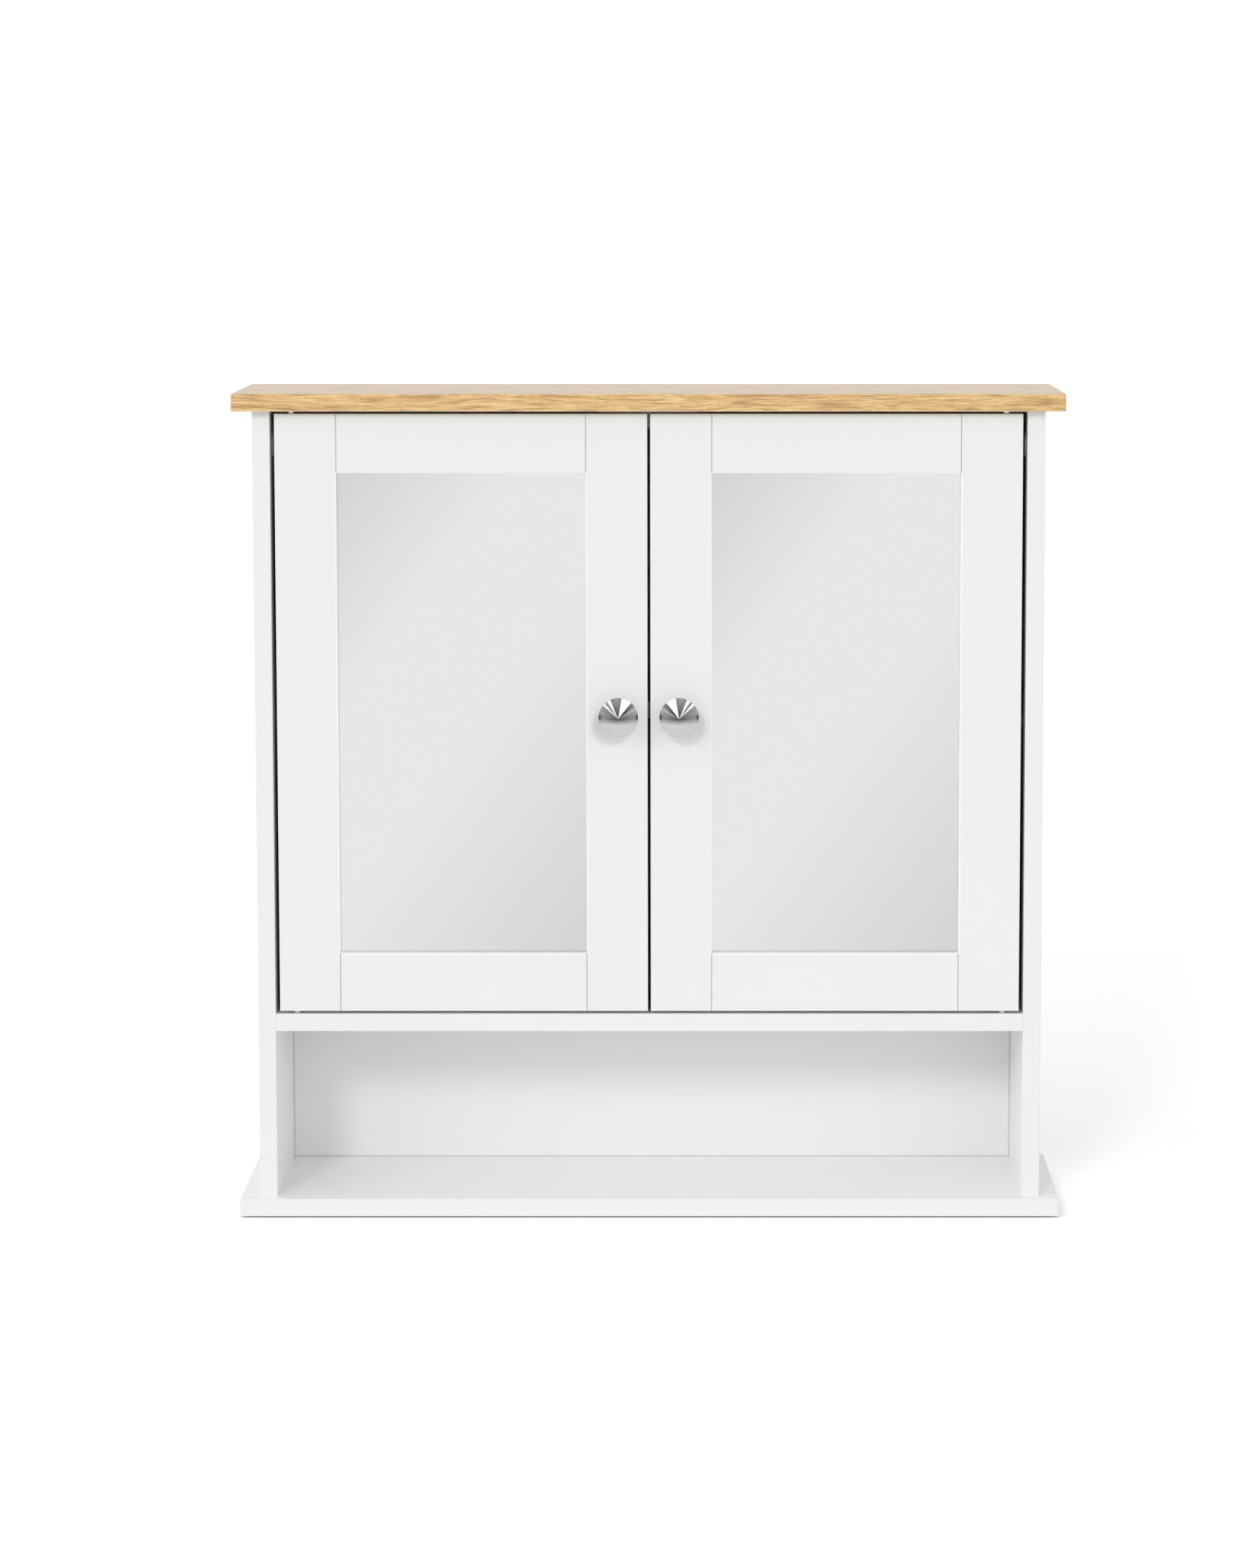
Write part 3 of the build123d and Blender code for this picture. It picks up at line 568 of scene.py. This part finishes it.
def knob_place(f, node, mirrored):
    """A point's height over a knob's middle and distance from it in millimetres, that distance as a share
    of the radius, and its angle in half turns."""
    low, high = box_mm(node)
    middle = (low + high) / 2
    x, y, z = f.parts(f.place())
    across = f.minus(x, middle.x)
    if mirrored:
        across = f.times(across, -1.0)
    rise = f.minus(z, middle.z)
    out = f.calculate("SQRT", f.times_plus(rise, rise, f.times(across, across)))
    reach = f.calculate("DIVIDE", out, (high.x - low.x) / 2)
    angle = f.calculate("DIVIDE", f.calculate("ARCTAN2", rise, across), math.pi)
    return rise, out, reach, angle


def painted_knob_reflections(f, streaks, rise, reach, angle):
    """The painted reflections of a knob's upper half: light and dark wedges, which lighten outwards and end
    in painted dark sides.
    """
    turned = f.times_plus(streaks, wedge_shift, angle)
    wedge = f.ramp(turned, [(degrees / 180, tone) for degrees, tone in PAINTED_KNOB_REFLECTIONS])
    outwards = f.spread(reach, low=0.15, high=0.95, to_low=-0.07, to_high=0.20)
    lightened = f.plus(wedge, f.times(f.inverse(wedge), outwards))
    streaky = f.spread(f.times_plus(streaks, wedge_contrast, lightened), 0.01, 1.0, 0.01, 1.0)
    level = f.spread(f.absolute(rise), low=1.0, high=3.0, to_low=0.85, to_high=0.0)
    dark_sides = f.times(f.spread(reach, low=0.80, high=0.96), level)
    return f.times(streaky, f.inverse(dark_sides))


def knob_metal(name, node, mirrored):
    """Turned, polished metal with painted reflections: light and dark wedges that meet at the cone's point,
    over a calm lower half.
    """
    side_grey = srgb(205, 205, 204)
    f = Finish(name)
    rise, out, reach, angle = knob_place(f, node, mirrored)
    round_and_out = f.vector(f.times(angle, knob_streaks), f.times(out, knob_streaks_outwards), 0.0)
    streaks = f.minus(f.noise(round_and_out, detail=3), 0.5)
    rings = f.noise(f.vector(f.times(out, knob_rings), angle, 0.0), detail=2)
    upper = painted_knob_reflections(f, streaks, rise, reach, angle)
    lower = f.times_plus(streaks, lower_contrast, lower_tone)
    share = f.spread(f.times_plus(streaks, start_fray, rise), *WEDGES_START)
    # Painted reflections: the wedges above fade into the calm grey below, fixed on the knob's face
    face = f.times_plus(upper, share, f.times(lower, f.inverse(share)))
    f.coat(
        Base_Color=f.blend(f.looks(AHEAD), side_grey, f.vector(face, face, face)),
        Metallic=1.0,
        Roughness=f.vary(rings, FINE, 0.16, 0.24),
        Normal=f.bump(rings, 4 * micron),
    )
    return f.material


def magnet():
    """Grey sintered ferrite."""
    f = Finish("magnet")
    grain = f.noise(f.place(), scale=3.0, detail=3)
    f.coat(
        Base_Color=f.blend(grain, srgb(44, 44, 46), srgb(74, 74, 76)),
        Roughness=f.vary(grain, FINE, 0.5, 0.68),
        Normal=f.bump(grain, 30 * micron),
    )
    return f.material


def moulded_plastic(name, colour, shade, roughness):
    """Moulded plastic with a fine spark-eroded skin."""
    f = Finish(name)
    place = f.place()
    skin = f.noise(place, scale=5.0, detail=2)
    flow = f.noise(place, scale=0.12, detail=2)
    f.coat(
        Base_Color=f.blend(f.spread(flow, *BROAD), colour, shade),
        Roughness=f.vary(skin, FINE, roughness - 0.05, roughness + 0.07),
        Normal=f.bump(skin, 10 * micron),
    )
    return f.material


def white_plastic():
    """The white of small moulded parts."""
    return moulded_plastic("white_plastic", srgb(238, 238, 236), srgb(231, 231, 228), roughness=0.38)


def nylon():
    """The creamy white of undyed nylon."""
    return moulded_plastic("nylon", srgb(228, 226, 216), srgb(218, 215, 203), roughness=0.45)


def make_finishes():
    """The finish of each material slot, and of each mirror and knob by its node's name."""
    finishes = {
        "oak_board": oak_board(),
        "white_board": white_board(),
        "white_paint": white_paint(),
        "back_hardboard": back_hardboard(),
        "brown_hardboard": brown_hardboard(),
        "beech": beech(),
        "zinc_steel": zinc_steel(),
        "pin_steel": pin_steel(),
        "magnet": magnet(),
        "white_plastic": white_plastic(),
        "nylon": nylon(),
    }
    for side in ("left", "right"):
        glass, knob = f"{side}_mirror_glass", f"{side}_knob"
        finishes[glass] = mirror_glass(f"{side}_mirror", glass)
        finishes[knob] = knob_metal(f"{side}_knob_metal", knob, mirrored=side == "right")
    return finishes


def dress_nodes():
    """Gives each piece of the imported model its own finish, or else that of its material slot."""
    finishes = make_finishes()
    for name, node in frame["nodes"].items():
        for slot in node.material_slots:
            slot_name = slot.material.name.split(".")[0]
            slot.material = finishes[name if name in finishes else slot_name]


def empty_tree(owner):
    """The node tree of a material or world, with nothing in it yet."""
    owner.use_nodes = True
    owner.node_tree.nodes.clear()
    return Tree(owner.node_tree)


def make_world():
    """White to the camera and in reflections, and a softer white as the light all round."""
    world = bpy.data.worlds.new("studio")
    bpy.context.scene.world = world
    tree = empty_tree(world)
    ambient = tree.node("ShaderNodeBackground", {"Color": white, "Strength": ambient_strength})
    backdrop = tree.node("ShaderNodeBackground", {"Color": white, "Strength": backdrop_strength})
    seen = tree.seen_by("Is Camera Ray", "Is Glossy Ray", "Is Transmission Ray")
    choice = tree.node("ShaderNodeMixShader", {0: seen, 1: ambient.outputs[0], 2: backdrop.outputs[0]})
    tree.node("ShaderNodeOutputWorld", {0: choice.outputs[0]})


def floor_finish():
    """Matt and pale, with a glow for the camera and for reflections that stops close to the object."""
    material = bpy.data.materials.new("floor")
    tree = empty_tree(material)
    matt = tree.node("ShaderNodeBsdfDiffuse", {"Color": floor_white})
    mirrored = tree.times(tree.seen_by("Is Glossy Ray", "Is Transmission Ray"), floor_glow_mirrored)
    level = tree.times_plus(tree.seen_by("Is Camera Ray"), floor_glow, mirrored)
    nearby = tree.node("ShaderNodeAmbientOcclusion", {"Distance": floor_contact}, samples=contact_samples)
    glow = tree.node("ShaderNodeEmission", {"Strength": tree.times(level, nearby.outputs["AO"])})
    both = tree.node("ShaderNodeAddShader", {0: matt.outputs[0], 1: glow.outputs[0]})
    tree.node("ShaderNodeOutputMaterial", {0: both.outputs[0]})
    return material


def make_floor():
    """A wide pale floor that keeps the object's shadow."""
    mesh = bpy.data.meshes.new("floor")
    half = floor_size / 2
    corners = [(x, y, -floor_drop) for x, y in ((-half, -half), (half, -half), (half, half), (-half, half))]
    mesh.from_pydata(corners, [], [(0, 1, 2, 3)])
    mesh.materials.append(floor_finish())
    floor = bpy.data.objects.new("floor", mesh)
    bpy.context.scene.collection.objects.link(floor)


def make_lamp(name, left, up, softness, strength):
    """A far soft lamp at an angle to the left of the doors' normal and above the floor."""
    light = bpy.data.lights.new(name, "SUN")
    light.energy = strength
    light.angle = math.radians(softness)
    lamp = bpy.data.objects.new(name, light)
    bpy.context.scene.collection.objects.link(lamp)
    side, rise = math.radians(left), math.radians(up)
    towards = Vector((-math.sin(side) * math.cos(rise), -math.cos(side) * math.cos(rise), math.sin(rise)))
    lamp.rotation_mode = "QUATERNION"
    lamp.rotation_quaternion = towards.to_track_quat("Z", "Y")
    lamp.visible_glossy = False
    return lamp


def link_light(lamp, nodes, state):
    """Lights these nodes alone (INCLUDE), or everything but them (EXCLUDE)."""
    group = bpy.data.collections.new(f"{lamp.name}_receivers")
    for node in nodes:
        group.objects.link(node)
    for member in group.collection_objects:
        member.light_linking.link_state = state
    lamp.light_linking.receiver_collection = group


def make_lamps():
    """All the lamps. Both knobs' shadows fall outwards, so the left door has a key lamp of its own."""
    lamps = {name: make_lamp(name, **setting) for name, setting in LAMPS.items()}
    left_door_names = frame["record"]["behaviour"]["bodies"]["left_door"]
    left_door = [frame["nodes"][name] for name in left_door_names]
    link_light(lamps["left_door_key"], left_door, "INCLUDE")
    link_light(lamps["key"], left_door, "EXCLUDE")


def make_camera():
    """The photograph's viewpoint."""
    data = bpy.data.cameras.new("camera")
    data.lens = camera_lens
    data.shift_x, data.shift_y = camera_shift
    camera = bpy.data.objects.new("camera", data)
    camera.location = camera_place
    camera.rotation_euler = (math.radians(90 - camera_pitch), 0, 0)
    bpy.context.scene.collection.objects.link(camera)
    bpy.context.scene.camera = camera


dress_nodes()
make_world()
make_floor()
make_lamps()
make_camera()
bpy.context.scene.view_settings.view_transform = "Standard"
